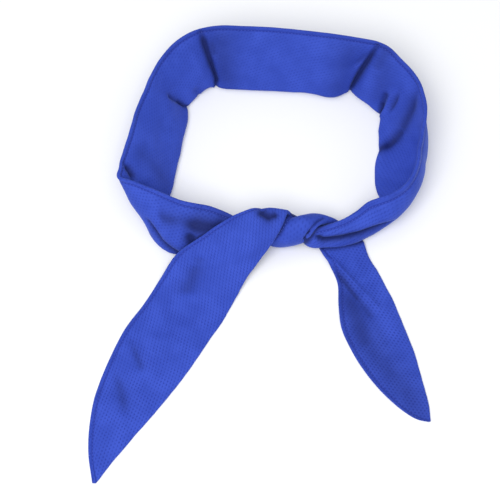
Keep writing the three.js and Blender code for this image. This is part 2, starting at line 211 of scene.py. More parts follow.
# Folds that the tied cloth takes. Each runs straight, in the flat cloth, between two places: a row
# of its table and a share across from hem to fold. wide is half its width and deep how far the
# cloth moves towards its outer face, as shares of the flat width. through is the share of that
# with which the far face follows, begin and end are how strong it is at its two ends, and shade
# is how dark the shade painted into its bottom is.
FOLD_COLUMNS = [
    "table", "row", "place", "to_row", "to_place", "wide", "deep", "through", "begin", "end",
    "shade",
]
FOLDS = [
    # creases where the padding turns the two back corners, and the puffs beside them
    ["loop", 13.06, 0.04, 13.1, 0.6, 0.04, 0.07, 0.3, 0.5, 1, 1],
    ["loop", 13.1, 0.6, 13.17, 0.84, 0.032, 0.085, 0.3, 1, 1, 1],
    ["loop", 13.17, 0.84, 12.92, 1.0, 0.032, 0.085, 0.3, 1, 1, 1],
    ["loop", 13.5, 0.12, 13.3, 0.6, 0.1, 0.03, 0.6, 0.6, 0, 0.6],
    # nearly flat rows that paint broad shade on the walls near the back corners and on both sides
    ["loop", 13.9, 0.25, 13.9, 0.8, 0.22, 0.004, 1, 1, 1, 0.52],
    ["loop", 7.1, 0.3, 6.5, 0.85, 0.14, 0.004, 1, 1, 1, 0.42],
    ["loop", 20.5, 0.25, 21.2, 0.7, 0.18, 0.004, 1, 1, 1, 0.4],
    ["loop", 18.25, 0.25, 18.1, 0.8, 0.22, 0.004, 1, 1, 1, 0.42],
    ["loop", 12.4, 0.15, 12.5, 0.95, 0.09, -0.035, 0.6, 0.3, 1, 0],
    ["loop", 19.45, 0.06, 18.94, 1.0, 0.034, 0.08, 0.3, 0.6, 1, 1],
    ["loop", 20.1, 0.1, 20.3, 0.5, 0.14, 0.02, 0.7, 1, 0, 0.5],
    ["loop", 19.5, 0.22, 18.5, 0.55, 0.07, 0.03, 0.7, 1, 0, 0.5],
    # shorter creases that run in from the fold, and the notches between the puffs there
    ["loop", 11.25, 0.75, 11.2, 1.0, 0.07, 0.03, 0.3, 0, 1, 0.4],
    ["loop", 9.6, 0.4, 9.8, 0.75, 0.05, 0.045, 0.6, 0, 1, 0.6],
    ["loop", 9.8, 0.75, 9.85, 1.0, 0.034, 0.06, 0.3, 1, 1, 0.9],
    ["loop", 21.3, 0.55, 21.62, 0.81, 0.045, 0.05, 0.6, 0, 1, 0.7],
    ["loop", 21.62, 0.81, 22.02, 1.0, 0.036, 0.065, 0.3, 1, 1, 0.9],
    ["loop", 21.6, 0.5, 22.16, 0.95, 0.03, -0.03, 1, 0.2, 0.8, 0],
    ["loop", 21.85, 0.4, 22.32, 0.86, 0.04, 0.035, 0.3, 0.4, 0.2, 0.7],
    ["loop", 22.35, 0.12, 23.06, 0.61, 0.09, 0.04, 0.6, 0.5, 1, 0.7],
    ["loop", 23.06, 0.61, 23.47, 0.8, 0.06, 0.045, 0.6, 0.7, 1, 0.75],
    ["loop", 23.47, 0.8, 24.0, 1.0, 0.045, 0.05, 0.3, 1, 1, 0.85],
    # left front corner: the hem curls in before it crosses to the leg
    ["loop", 6.4, 0.08, 6.0, 0.25, 0.045, 0.06, 0.4, 0.5, 1, 0.9],
    ["loop", 6.0, 0.25, 5.6, 0.32, 0.045, 0.04, 0.4, 1, 0, 0.6],
    # right leg, doubled along its length as it runs into the knot
    ["loop", 28.7, 0.6, 29.4, 0.6, 0.035, -0.05, 1, 0, 1, 0.7],
    ["loop", 29.4, 0.6, 30.4, 0.59, 0.035, -0.085, 1, 1, 1, 1],
    ["loop", 30.4, 0.59, 31.7, 0.53, 0.035, -0.085, 1, 1, 1, 1],
    ["left_knot", -0.3, 0.53, 1.0, 0.52, 0.032, -0.08, 1, 1, 1, 1],
    ["left_knot", 1.0, 0.52, 1.45, 0.34, 0.03, -0.07, 1, 1, 0.6, 1],
    # left leg: long valley under the hem, pocket beside the tail and tuck above the lower edge
    ["loop", 3.1, 0.4, 2.05, 0.31, 0.09, -0.035, 1, 0, 0.8, 0.6],
    ["loop", 2.05, 0.31, 0.8, 0.36, 0.1, -0.07, 1, 0.5, 1, 1],
    ["loop", 1.85, 0.45, 1.6, 0.8, 0.07, -0.07, 0.6, 0.5, 1, 1],
    ["loop", 3.4, 0.58, 2.9, 0.8, 0.035, -0.06, 0.6, 0.8, 1, 0.9],
    ["loop", 2.9, 0.8, 2.25, 0.94, 0.035, -0.06, 0.6, 1, 1, 0.9],
    # knot: pit under the left tail's rolled root, and the pleat along the wrap
    ["left_knot", 5.1, 0.2, 5.8, 0.38, 0.045, -0.06, 0.3, 0, 1, 0.9],
    ["left_knot", 5.8, 0.36, 5.95, 0.58, 0.05, -0.07, 0.3, 1, 1, 1],
    ["left_knot", 5.95, 0.58, 5.4, 0.78, 0.04, -0.06, 0.3, 1, 0.3, 0.9],
    ["right_knot", 3.6, 0.86, 4.7, 0.85, 0.018, -0.04, 0.3, 0.8, 1, 0.6],
    ["right_knot", 4.7, 0.85, 5.8, 0.8, 0.018, -0.04, 0.3, 1, 1, 0.6],
    # right tail: ridge that runs down from the leg, the shallow hollow beside it with painted
    # shade, and broad painted shade over its middle and lower part
    ["right_tail", 9.1, 0.1, 7.6, 0.44, 0.05, -0.04, 1, 0.8, 1, 0],
    ["right_tail", 7.6, 0.44, 6.3, 0.74, 0.06, -0.04, 1, 1, 0, 0],
    ["right_tail", 8.7, 0.05, 7.2, 0.36, 0.05, 0.01, 1, 0.5, 1, 0.7],
    ["right_tail", 7.2, 0.36, 5.9, 0.56, 0.08, 0.01, 1, 1, 0, 0.55],
    ["right_tail", 8.0, 0.1, 5.2, 0.28, 0.17, 0.005, 1, 0.6, 1, 0.6],
    ["right_tail", 5.2, 0.28, 1.2, 0.5, 0.26, 0.005, 1, 1, 0.9, 0.5],
    ["right_tail", 6.6, 0.45, 4.6, 0.55, 0.14, 0.003, 1, 1, 1, 0.4],
    ["right_tail", 6.9, 0.8, 4.6, 0.86, 0.1, -0.025, 1, 0, 0, 0],
    ["right_tail", 4.6, 0.2, 3.2, 0.75, 0.06, 0.008, 1, 0.3, 0.2, 0.5],
    # left tail: soft dimple below the knot and slight wrinkles along its left edge
    ["left_tail", 1.7, 0.28, 2.5, 0.34, 0.1, -0.02, 1, 0, 1, 0.4],
    ["left_tail", 2.5, 0.34, 3.7, 0.42, 0.12, -0.03, 1, 1, 0, 0.5],
    ["left_tail", 5.2, 0.14, 6.2, 0.54, 0.045, -0.02, 1, 0.6, 0.2, 0.5],
    ["left_tail", 6.1, 0.12, 7.6, 0.74, 0.06, -0.02, 1, 0.5, 0.2, 0.5],
    ["left_tail", 5.0, 0.3, 5.9, 0.62, 0.04, 0.02, 1, 0.3, 0, 0],
    ["left_tail", 3.4, 0.6, 4.6, 0.8, 0.12, 0.03, 1, 0, 0, 0],
]

# How clearly the knit's holes show along the strip: less over the pad and in the tight knot.
# It changes evenly from one of these rows to the next.
CLEAR_COLUMNS = ["table", "row", "clear"]
CLEARNESS = [
    ["right_tail", 9.0, 1],
    ["right_knot", 2.0, 0.55],
    ["right_knot", 8.0, 0.55],
    ["loop", 1.0, 0.75],
    ["loop", 6.0, 0.6],
    ["loop", 27.0, 0.6],
    ["loop", 30.0, 0.8],
    ["left_tail", 1.0, 1],
]

# Where one stretch of the strip lies on another: the upper one's rows, then the lower one's
PRESSES = [
    [("left_knot", 4.6), ("left_knot", 8.0), ("right_knot", 2.5), ("right_knot", 7.5)],
    [("left_knot", 4.5), ("left_tail", 2.5), ("right_knot", 7.5), ("loop", 3.2)],
    [("right_knot", 2.6), ("right_knot", 6.5), ("loop", 30.0), ("left_knot", 4.4)],
    [("loop", 29.5), ("left_knot", 1.6), ("right_tail", 7.5), ("right_knot", 1.4)],
]
PRESS_PASSES = 2
PRESS_CLEAR = 0.25 * MM  # left between the two
PRESS_DEEP = 9 * MM  # farthest that a point is moved
PRESS_REACH = 25 * MM  # only points this near to the upper stretch's middle line are tried
PRESS_EVERY = 8  # rings between the points of that middle line
PRESS_SOFTEN = 3  # passes that soften the move over the cloth around it
CONTACT_REACH = 5 * MM  # how far from the upper one its shade falls

# A fold in section, and where it ends or meets an edge
FOLD_FALL = 1.5  # power by which a fold's side falls away from its line
FOLD_EASE = 0.4  # share of its length over which its strength changes at each end
FAR_SOFTER = 3  # how much wider it is on the far face, for the share that doesn't follow
SOFT_SHADE_WIDE = 3  # width of the soft shade beside it, as a multiple of its own
SOFT_SHADE = 0.4  # strength of that soft shade

# A crease that reaches the fold pulls its round edge in: over how many times the edge's own
# width, at most over what share of the strip's, and by what share of the crease's depth
PINCHED_RIM = 3
PINCHED_AT_MOST = 0.15
PINCH = 0.7

# Slight waves of the cloth all over. length and height are shares of the flat width, turn is the
# wave's heading in degrees and start its phase.
RIPPLE_COLUMNS = ["length", "turn", "start", "height"]
RIPPLES = [
    [0.9, 20, 0.3, 0.006],
    [0.62, -35, 1.9, 0.005],
    [0.43, 62, 4.1, 0.0035],
    [0.31, -70, 2.7, 0.0025],
    [0.22, 8, 5.2, 0.0015],
]

# A row of stitches in the groove beside the hem, on both faces
STITCH_PITCH = 2.8 * MM
STITCH_LONG = 1.9 * MM
STITCH_WIDE = 0.5 * MM
STITCH_LIFT = 0.12 * MM  # of its middle above the cloth
STITCH_END = 4 * MM  # left free at the strip's two tips
STITCH_SIDES = 6
STITCH_RINGS = 4
STITCH_CUT = LIP_CUTS + 2  # the cut of the section that it lies on
STITCH_TILT = 3  # cuts to each side of it that give its tilt

# The knit's small holes lie on a slanted lattice. Each wave is given by its pitch, in mm, its
# turn from the strip's length towards the hem, in degrees, and its weight.
WAVE_COLUMNS = ["pitch", "turn", "weight"]
KNIT_WAVES = [
    [2.33, 19, 0.32],
    [2.33, 70, 0.44],
    [2.7, -45.5, 0.24],
]
# deeper blue of the holes and the rolled hem, also used as painted shade in the stitch groove
DEEP_BLUE = (0.014, 0.032, 0.27, 1)
# painted shade: the blue that crease bottoms and cloth under an overlap are darkened towards
PAINTED_SHADE_BLUE = (0.006, 0.012, 0.09, 1)
ROYAL_BLUE = (0.028, 0.061, 0.405, 1)
SOFT_BLUE = (0.036, 0.075, 0.47, 1)
THREAD_DEEP = (0.03, 0.06, 0.42, 1)
THREAD_LIGHT = (0.06, 0.11, 0.62, 1)
SHEEN_BLUE = (0.35, 0.5, 1, 1)

# Scales of the noises in the materials, and the bands of their values that are used
FUZZ_FINE = 900.0
HOLES_VARY = 110.0
WORN_BROAD = 60.0
THREAD_TWIST = 2500.0
NOISE_BAND = (0.3, 0.7)
HOLES_BAND = (0.35, 0.65)

# Where the colour changes beside the hem, in hem widths from it, and how strongly: the lip is a
# slightly deeper blue, and the stitch groove is darkened with painted shade
LIP_END_SHADES = (0.87, 1.07)
GROOVE_SHADES = (0.97, 1.17)
GROOVE_END_SHADES = (1.47, 1.73)
LIP_DEEPER = 0.25
GROOVE_PAINTED_SHADE = 0.9

# What the knit does with the waves' sum, and with the shade painted into creases and under overlaps
HOLE_SHADES = (0.15, 0.6)  # where a hole begins, and where it is full
HOLE_DEPTHS = (0.45, 0.8)  # least and most dark that holes are
HOLE_FUZZ = 0.25
# where the painted shade begins and is full, and its strongest mix
PAINTED_SHADE_RANGE = (0.1, 0.95)
PAINTED_SHADE_DEEPEST = 0.9
KNIT_DEEP = 0.25 * MM
FUZZ_HEIGHT = 0.35  # of a hole's depth
ROUGHNESS = (0.72, 0.86)

# Studio: a white floor, a pale sky and one soft panel aimed at the wrap
FLOOR_HALF = 6
FLOOR_WHITE = (0.9, 0.9, 0.9, 1)
SKY_WHITE = (0.95, 0.97, 1, 1)
SKY_STRENGTH = 0.74
PANEL_AT = (-0.25, -0.6, 1.15)
PANEL_WIDE = 0.9
PANEL_POWER = 13


def section(row, base):
    """One table row as the fold's place, the hem's place, the bulge and the thickness."""
    share = dict(zip(COLUMNS, row))
    x, y, across, back, high, thick = base
    fold = np.array([x + share["x"] * across, y + share["y"] * back, share["z"] * high])
    heading = math.radians(share["heading"])
    lean = math.radians(share["lean"])
    level = math.cos(lean)
    to_hem = np.array([level * math.cos(heading), level * math.sin(heading), math.sin(lean)])
    hem = fold + to_hem * share["chord"] * WRAP_WIDTH
    return [*fold, *hem, share["crown"] * WRAP_WIDTH, share["thick"] * thick]


def strip_sections():
    """Every cross-section of the strip, from the right tail's tip to the left tail's."""
    right_tail = (KNOT_X, KNOT_Y, RIGHT_TAIL, RIGHT_TAIL, RIGHT_TAIL, CLOTH_THICK)
    left_tail = (KNOT_X, KNOT_Y, LEFT_TAIL, LEFT_TAIL, LEFT_TAIL, CLOTH_THICK)
    knot = (KNOT_X, KNOT_Y, KNOT_HIGH, KNOT_HIGH, KNOT_HIGH, GATHER_THICK)
    loop = (0, 0, LOOP_ACROSS, LOOP_BACK, WRAP_WIDTH, PAD_THICK)
    tables = [
        (RIGHT_TAIL_ROWS, right_tail),
        (RIGHT_KNOT_ROWS, knot),
        (LOOP_ROWS, loop),
        (LEFT_KNOT_ROWS, knot),
        (LEFT_TAIL_ROWS, left_tail),
    ]
    return np.array([section(row, base) for rows, base in tables for row in rows])


SECTIONS = strip_sections()


def smooth_through(points, rows, even=False):
    """A curve through the points at each row number, which may lie between two rows. Unless
    even, its speed follows the distance between the points, so that it doesn't overshoot."""
    padded = np.vstack([2 * points[0] - points[1], points, 2 * points[-1] - points[-2]])
    first = np.clip(np.floor(rows).astype(int), 0, len(points) - 2)
    t = (rows - first)[:, None]
    p0, p1, p2, p3 = (padded[first + k] for k in range(4))
    if even:
        start = 0.5 * (p2 - p0)
        end = 0.5 * (p3 - p1)
    else:
        d0, d1, d2 = (
            np.sqrt(np.linalg.norm(b - a, axis=1))[:, None]
            for a, b in ((p0, p1), (p1, p2), (p2, p3))
        )
        start = ((p1 - p0) / d0 - (p2 - p0) / (d0 + d1) + (p2 - p1) / d1) * d1
        end = ((p2 - p1) / d1 - (p3 - p1) / (d1 + d2) + (p3 - p2) / d2) * d1
    bend = -3 * p1 + 3 * p2 - 2 * start - end
    turn = 2 * p1 - 2 * p2 + start + end
    return p1 + start * t + bend * t**2 + turn * t**3


def edges_at(rows):
    """The fold's and the hem's places, the bulge and the thickness at each row number."""
    rows = np.clip(rows, 0, LAST_ROW)
    fold = smooth_through(SECTIONS[:, 0:3], rows)
    hem = smooth_through(SECTIONS[:, 3:6], rows)
    shape = smooth_through(SECTIONS[:, 6:8], rows, even=True)
    return fold, hem, shape[:, 0], np.maximum(shape[:, 1], SLIMMEST_SECTION * CLOTH_THICK)


def ring_rows():
    """Row numbers of the rings, close together by their distance along the strip."""
    rows = np.arange(LAST_ROW + 1)
    fold, hem, _, _ = edges_at(rows)
    middle = (fold + hem) / 2
    lengths = np.linalg.norm(np.diff(middle, axis=0), axis=1)
    cuts = np.maximum(2, np.round(lengths / RING_STEP)).astype(int)
    parts = [row + np.arange(count) / count for row, count in zip(rows, cuts)]
    return np.concatenate([*parts, [LAST_ROW]])


def unit(vectors):
    return vectors / np.maximum(np.linalg.norm(vectors, axis=-1, keepdims=True), NO_LENGTH)


def section_profile(lip, edge, full):
    """The section from hem to fold: each cut's place, as a share of the width, and half the
    thickness there. It runs through the lip, the groove, the body and the round edge."""
    hem_half = 0.5 * HEM_THICK
    flat_half = 0.5 * CLOTH_THICK
    lip_side = LIP_EDGE * hem_half
    groove_end = GROOVE_END * lip
    body_end = 1 - edge

    on_lip = np.arange(LIP_CUTS) / LIP_CUTS
    lip_half = hem_half * np.sqrt(1 - (2 * on_lip - 1) ** 2 * LIP_ROUND)

    on_groove = np.arange(GROOVE_CUTS) / GROOVE_CUTS
    dip = np.cos(np.pi * (on_groove * 2 - 1) * 0.5) ** 2
    groove_half = (1 - dip) * (lip_side + (flat_half - lip_side) * on_groove)
    groove_half += dip * GROOVE_HALF * CLOTH_THICK

    on_body = np.arange(BODY_CUTS) / BODY_CUTS
    swell = np.sin(0.5 * np.pi * np.minimum(1, on_body * SWELL_REACH)) ** SWELL_SHAPE

    on_edge = 0.5 * np.pi * (np.arange(EDGE_CUTS + 1) / EDGE_CUTS)
    stretches = [
        (lip * on_lip, lip_half),
        (lip + (groove_end - lip) * on_groove, groove_half),
        (groove_end + (body_end - groove_end) * on_body, flat_half + (full - flat_half) * swell),
        (body_end + (1 - body_end) * np.sin(on_edge), full * np.cos(on_edge)),
    ]
    place = np.hstack([places for places, _ in stretches])
    half = np.hstack([halves + 0 * lip for _, halves in stretches])
    half[:, 0] = 0
    return place, half


def soft_floor(z):
    """Cloth that would sink into the table lies flat on it instead."""
    return 0.5 * (z + np.sqrt(z**2 + FLOOR_EASE**2))


def smooth_step(t):
    t = np.clip(t, 0, 1)
    return t * t * (3 - 2 * t)


def bell(away, wide):
    """A fold's strength beside its line: 1 on it, falling smoothly away."""
    return (1 + (away / wide) ** 2) ** -FOLD_FALL


def fold_shift(row, travelled, along, from_fold, width):
    """How far the folds push the outer and the inner face outwards at every point of the cloth,
    and how much shade they paint there. Where two folds meet, the deeper one holds."""
    raised = {"outer": np.zeros_like(from_fold), "inner": np.zeros_like(from_fold)}
    sunk = {"outer": np.zeros_like(from_fold), "inner": np.zeros_like(from_fold)}
    shade = {"outer": np.zeros_like(from_fold), "inner": np.zeros_like(from_fold)}
    for values in FOLDS:
        fold = dict(zip(FOLD_COLUMNS, values))
        ends = []
        for number, place in (("row", "place"), ("to_row", "to_place")):
            at = TABLE_ROW[fold["table"]] + fold[number]
            here = np.interp(at, row, travelled)
            ends.append((here, (1 - fold[place]) * np.interp(at, row, width)))
        # both ends, by how far they are along the strip and from the fold edge
        (a, p), (b, q) = ends
        length = max(math.hypot(b - a, q - p), TINY)
        t = ((along - a) * (b - a) + (from_fold - p) * (q - p)) / length**2
        held = np.clip(t, 0, 1)
        away = np.hypot(along - a - held * (b - a), from_fold - p - held * (q - p))
        wide = fold["wide"] * WRAP_WIDTH
        begin = fold["begin"] + (1 - fold["begin"]) * smooth_step(held / FOLD_EASE)
        end = fold["end"] + (1 - fold["end"]) * smooth_step((1 - held) / FOLD_EASE)
        # near is the face on which it is a valley
        near, far = ("outer", "inner") if fold["deep"] < 0 else ("inner", "outer")
        follow = {near: 1, far: fold["through"]}
        spread = {near: wide, far: wide * (1 + FAR_SOFTER * (1 - follow[far]))}
        for face in ("outer", "inner"):
            push = fold["deep"] * WRAP_WIDTH * bell(away, spread[face]) * begin * end * follow[face]
            raised[face] = np.maximum(raised[face], push)
            sunk[face] = np.minimum(sunk[face], push)
        # shade painted into the fold's bottom: narrow along its line and soft beside it
        narrow = (1 - SOFT_SHADE) * bell(away, wide)
        broad = SOFT_SHADE * bell(away, wide * SOFT_SHADE_WIDE)
        dent = (narrow + broad) * fold["shade"] * begin * end
        shade[near] = np.maximum(shade[near], dent)
    outer = raised["outer"] + sunk["outer"]
    inner = raised["inner"] + sunk["inner"]
    return outer, inner, np.clip(shade["outer"], 0, 1), np.clip(shade["inner"], 0, 1)


def ripple_shift(along, from_fold):
    """How far the slight waves move the cloth at every point."""
    total = np.zeros_like(from_fold)
    for values in RIPPLES:
        wave = dict(zip(RIPPLE_COLUMNS, values))
        turn = math.radians(wave["turn"])
        run = along * math.cos(turn) + from_fold * math.sin(turn)
        phase = 2 * math.pi * run / (wave["length"] * WRAP_WIDTH) + wave["start"]
        total += wave["height"] * WRAP_WIDTH * np.sin(phase)
    return total


def clearness_at(rows):
    """How clearly the knit's holes show at each row number."""
    marks = [dict(zip(CLEAR_COLUMNS, values)) for values in CLEARNESS]
    places = [TABLE_ROW[mark["table"]] + mark["row"] for mark in marks]
    return np.interp(rows, places, [mark["clear"] for mark in marks])


def face_shifts(rows, travelled, along, from_fold, width, half):
    """How far folds and waves move each face, and its painted shade. The two faces stay THINNEST
    apart, and move together where they meet at the edges."""
    outer, inner, outer_shade, inner_shade = fold_shift(rows, travelled, along, from_fold, width)
    waves = ripple_shift(along, from_fold)
    meet = np.clip(half / (FACES_MEET * CLOTH_THICK), 0, 1)
    both = 0.5 * (outer + inner)
    outer = both + (outer - both) * meet
    inner = both + (inner - both) * meet
    short = np.maximum(0, THINNEST * meet - 2 * half - outer + inner)
    outer += short * (both > 0) + waves
    inner += waves - short * (both <= 0)
    return outer, inner, outer_shade, inner_shade


def around(outer, inner):
    """Values of both faces as one ring: along the outer face, and back along the inner one."""
    return np.concatenate([outer, inner[:, -2::-1]], axis=1)


def strip_surface():
    """The whole strip ring by ring: its points, flat coordinates, painted shade and clear holes."""
    rows = ring_rows()
    fold, hem, crown, thick = edges_at(rows)
    fold_next, hem_next, _, _ = edges_at(rows + LOOK_ALONG)
    fold_last, hem_last, _, _ = edges_at(rows - LOOK_ALONG)
    along_hem = hem_next - hem_last
    along_fold = fold_next - fold_last
    to_hem = hem - fold
    width = np.linalg.norm(to_hem, axis=1)
    outward = unit(np.cross(to_hem, along_hem + along_fold))

    lip = np.minimum(HEM_WIDTH / width, LIP_AT_MOST)[:, None]
    edge = np.minimum(0.5 * thick / width, EDGE_AT_MOST)[:, None]
    place, half = section_profile(lip, edge, (0.5 * thick)[:, None])

    # the middle of the cloth is a parabola that reaches the crown halfway across
    bulge = crown[:, None] * 4 * place * (1 - place)
    slope = outward[:, None, :] * (crown[:, None] * 4 * (1 - 2 * place))[:, :, None]
    slope = slope - to_hem[:, None, :]
    middle = hem[:, None, :] + (fold - hem)[:, None, :] * place[:, :, None]
    middle = middle + outward[:, None, :] * bulge[:, :, None]
    along = along_hem[:, None, :] + (along_fold - along_hem)[:, None, :] * place[:, :, None]
    normal = unit(np.cross(along, slope))

    centre = (fold + hem) / 2
    steps = np.linalg.norm(np.diff(centre, axis=0), axis=1)
    travelled = np.concatenate([[0], np.cumsum(steps)])
    from_fold = (1 - place) * width[:, None]
    run = np.repeat(travelled[:, None], from_fold.shape[1], axis=1)
    outer_shift, inner_shift, outer_shade, inner_shade = face_shifts(
        rows, travelled, run, from_fold, width, half
    )

    # near the fold a crease pulls the edge in towards the hem, not outwards
    rim = smooth_step((place - 1) / np.minimum(PINCHED_RIM * edge, PINCHED_AT_MOST) + 1)
    hemward = unit(to_hem)[:, None, :] * (PINCH * rim)[:, :, None]
    flush = 1 - rim
    outer = middle + normal * (half + outer_shift * flush)[:, :, None]
    outer = outer + hemward * abs(outer_shift)[:, :, None]
    inner = middle + normal * (inner_shift * flush - half)[:, :, None]
    inner = inner + hemward * abs(inner_shift)[:, :, None]
    ring = around(outer, inner)
    ring[:, :, 2] = soft_floor(ring[:, :, 2])
    ring += np.array(TABLE_ZERO)[None, None, :]
    return {
        "rows": rows,
        "ring": ring,
        "along": around(run, run),
        "across": around(from_fold, -from_fold),
        "from_hem": around(place, place) * width[:, None],
        # shade painted into creases, and later under overlaps
        "painted_shade": around(outer_shade, inner_shade),
        "clear": np.repeat(clearness_at(rows)[:, None], ring.shape[1], axis=1),
    }


def ring_at(surface, spot):
    """The ring nearest to a row of one of the tables."""
    table, row = spot
    return int(np.argmin(abs(surface["rows"] - (TABLE_ROW[table] + row))))


def soften(field, times):
    """Evens out a field of moves along the cloth and round its section."""
    for _ in range(times):
        near = np.pad(field, ((1, 1), (0, 0), (0, 0)), mode="edge")
        field = 0.5 * field + 0.25 * (near[:-2] + near[2:])
        field = 0.5 * field + 0.25 * (np.roll(field, 1, axis=1) + np.roll(field, -1, axis=1))
    return field


def cloth_tree(surface, first, last):
    """The strip between two rings, to be asked for its nearest point."""
    part = surface["ring"][first : last + 1]
    count, size = part.shape[:2]
    grid = bmesh.new()
    bmesh.ops.create_grid(grid, x_segments=size - 1, y_segments=count - 1, size=1)
    grid.verts.ensure_lookup_table()
    corner = grid.verts[0].co
    by_row = abs(grid.verts[1].co.x - corner.x) > abs(grid.verts[1].co.y - corner.y)
    points = part if by_row else part.transpose(1, 0, 2)
    for vertex, point in zip(grid.verts, points.reshape(-1, 3)):
        vertex.co = point
    bmesh.ops.reverse_faces(grid, faces=grid.faces)
    tree = BVHTree.FromBMesh(grid)
    grid.free()
    return tree


def press_cloth(surface):
    """Pushes the lower stretch out of the upper one wherever they cross in the knot, and paints
    shade on it where it lies near the upper one."""
    ring = surface["ring"]
    for upper_from, upper_to, lower_from, lower_to in PRESSES:
        first, last = ring_at(surface, upper_from), ring_at(surface, upper_to)
        tree = cloth_tree(surface, first, last)
        centre = ring[first : last + 1].mean(axis=1)
        low, high = ring_at(surface, lower_from), ring_at(surface, lower_to)
        for _ in range(PRESS_PASSES):
            part = ring[low:high]
            move = np.zeros_like(part)
            aside = part[:, :, None] - centre[None, None, ::PRESS_EVERY]
            near = np.linalg.norm(aside, axis=3).min(axis=2)
            for i, j in np.argwhere(near < PRESS_REACH):
                point = Vector(part[i, j])
                spot, normal, _, _ = tree.find_nearest(point, PRESS_DEEP)
                if spot is not None and (point - spot).dot(normal) < PRESS_CLEAR:
                    move[i, j] = spot + normal * PRESS_CLEAR - point
            spread = soften(move, PRESS_SOFTEN)
            far = np.linalg.norm(move, axis=2) > np.linalg.norm(spread, axis=2)
            spread[far] = move[far]
            ring[low:high] = part + spread
        # painted shade on the lower stretch where it lies near the upper one
        shade = surface["painted_shade"][low:high]
        for i, j in np.argwhere(near < PRESS_REACH):
            _, _, _, away = tree.find_nearest(Vector(ring[low + i, j]), CONTACT_REACH)
            if away is not None:
                shade[i, j] = max(shade[i, j], 1 - away / CONTACT_REACH)


def strip_mesh(surface):
    """The whole strip as one closed bmesh, with its flat coordinates as a UV map."""
    count, size = surface["ring"].shape[:2]
    cloth = bmesh.new()
    bmesh.ops.create_grid(cloth, x_segments=size - 1, y_segments=count - 1, size=1)
    flat = cloth.loops.layers.uv.new("flat")
    rings = cloth.verts.layers.int.new("ring")
    # distance from the hem, painted shade and how clear the holes are, as vertex attributes
    measures = [
        (cloth.verts.layers.float.new(name), surface[name].ravel())
        for name in ("from_hem", "painted_shade", "clear")
    ]
    order = sorted(cloth.verts, key=lambda v: (round(v.co.y, DIGITS), round(v.co.x, DIGITS)))
    number = {vertex.index: i for i, vertex in enumerate(order)}
    along = surface["along"].ravel()
    across = surface["across"].ravel()
    for face in cloth.faces:
        face.smooth = True
        for loop in face.loops:
            i = number[loop.vert.index]
            loop[flat].uv = (along[i], across[i])
    points = surface["ring"].reshape(-1, 3)
    for i, vertex in enumerate(order):
        vertex.co = points[i]
        vertex[rings] = i // size
        for layer, values in measures:
            vertex[layer] = values[i]
    bmesh.ops.remove_doubles(cloth, verts=cloth.verts, dist=TINY)
    close_ends(cloth)
    return cloth


def close_ends(cloth):
    """Fills the open ends and turns every face outwards."""
    open_edges = [edge for edge in cloth.edges if edge.is_boundary]
    bmesh.ops.holes_fill(cloth, edges=open_edges, sides=0)
    bmesh.ops.recalc_face_normals(cloth, faces=cloth.faces)


def lay_piece(name, cloth, first, last):
    """The stretch of the strip between two rings, as an object with closed ends. Its shading is
    that of the whole strip, so that two pieces meet without a line."""
    part = cloth.copy()
    rings = part.verts.layers.int["ring"]
    outside = [vertex for vertex in part.verts if not first <= vertex[rings] <= last]
    bmesh.ops.delete(part, geom=outside, context="VERTS")
    close_ends(part)
    full_normal = part.verts.layers.float_vector["full_normal"]
    normals = [tuple(vertex[full_normal]) for vertex in part.verts]
    mesh = bpy.data.meshes.new(name)
    part.to_mesh(mesh)
    part.free()
    mesh.normals_split_custom_set_from_vertices(normals)
    mesh.attributes.remove(mesh.attributes["full_normal"])
    mesh.attributes.remove(mesh.attributes["ring"])
    piece = bpy.data.objects.new(name, mesh)
    bpy.context.scene.collection.objects.link(piece)
    return piece


def small_stitch():
    """One stitch of unit size, lying along Z."""
    stitch = bmesh.new()
    bmesh.ops.create_uvsphere(
        stitch, u_segments=STITCH_SIDES, v_segments=STITCH_RINGS, radius=0.5
    )
    for face in stitch.faces:
        face.smooth = True
    mesh = bpy.data.meshes.new("stitch")
    stitch.to_mesh(mesh)
    stitch.free()
    return mesh


def hem_stitches(surface):
    """A row of small thread stitches in the groove beside the hem, on both faces."""
    ring = surface["ring"]
    thread = bmesh.new()
    stitch = small_stitch()
    for column, beside in ((STITCH_CUT, 1), (ring.shape[1] - 1 - STITCH_CUT, -1)):
        line = ring[:, column]
        steps = np.linalg.norm(np.diff(line, axis=0), axis=1)
        lengths = np.concatenate([[0], np.cumsum(steps)])
        count = int((lengths[-1] - 2 * STITCH_END) / STITCH_PITCH)
        for middle in STITCH_END + (np.arange(count) + 0.5) * STITCH_PITCH:
            i = int(np.searchsorted(lengths, middle)) - 1
            i = min(max(i, 1), len(line) - 3)
            share = (middle - lengths[i]) / max(lengths[i + 1] - lengths[i], TINY)
            at = Vector(line[i]).lerp(Vector(line[i + 1]), share)
            run = Vector(line[i + 2] - line[i - 1]).normalized()
            tilt = STITCH_TILT * beside
            side = Vector(ring[i, column + tilt] - ring[i, column - tilt])
            up = side.cross(run).normalized() * beside
            across = up.cross(run)
            turn = Matrix((across * STITCH_WIDE, up * STITCH_WIDE, run * STITCH_LONG)).transposed()
            copy = stitch.copy()
            copy.transform(Matrix.Translation(at + up * STITCH_LIFT) @ turn.to_4x4())
            thread.from_mesh(copy)
            bpy.data.meshes.remove(copy)
    bpy.data.meshes.remove(stitch)
    bmesh.ops.recalc_face_normals(thread, faces=thread.faces)
    mesh = bpy.data.meshes.new("hem_stitches")
    thread.to_mesh(mesh)
    thread.free()
    piece = bpy.data.objects.new("hem_stitches", mesh)
    bpy.context.scene.collection.objects.link(piece)
    return piece


def node_tree(name):
    material = bpy.data.materials.new(name)
    material.use_nodes = True
    tree = material.node_tree
    tree.nodes.clear()
    output = tree.nodes.new("ShaderNodeOutputMaterial")
    shader = tree.nodes.new("ShaderNodeBsdfPrincipled")
    tree.links.new(shader.outputs[0], output.inputs["Surface"])
    return material, tree, shader


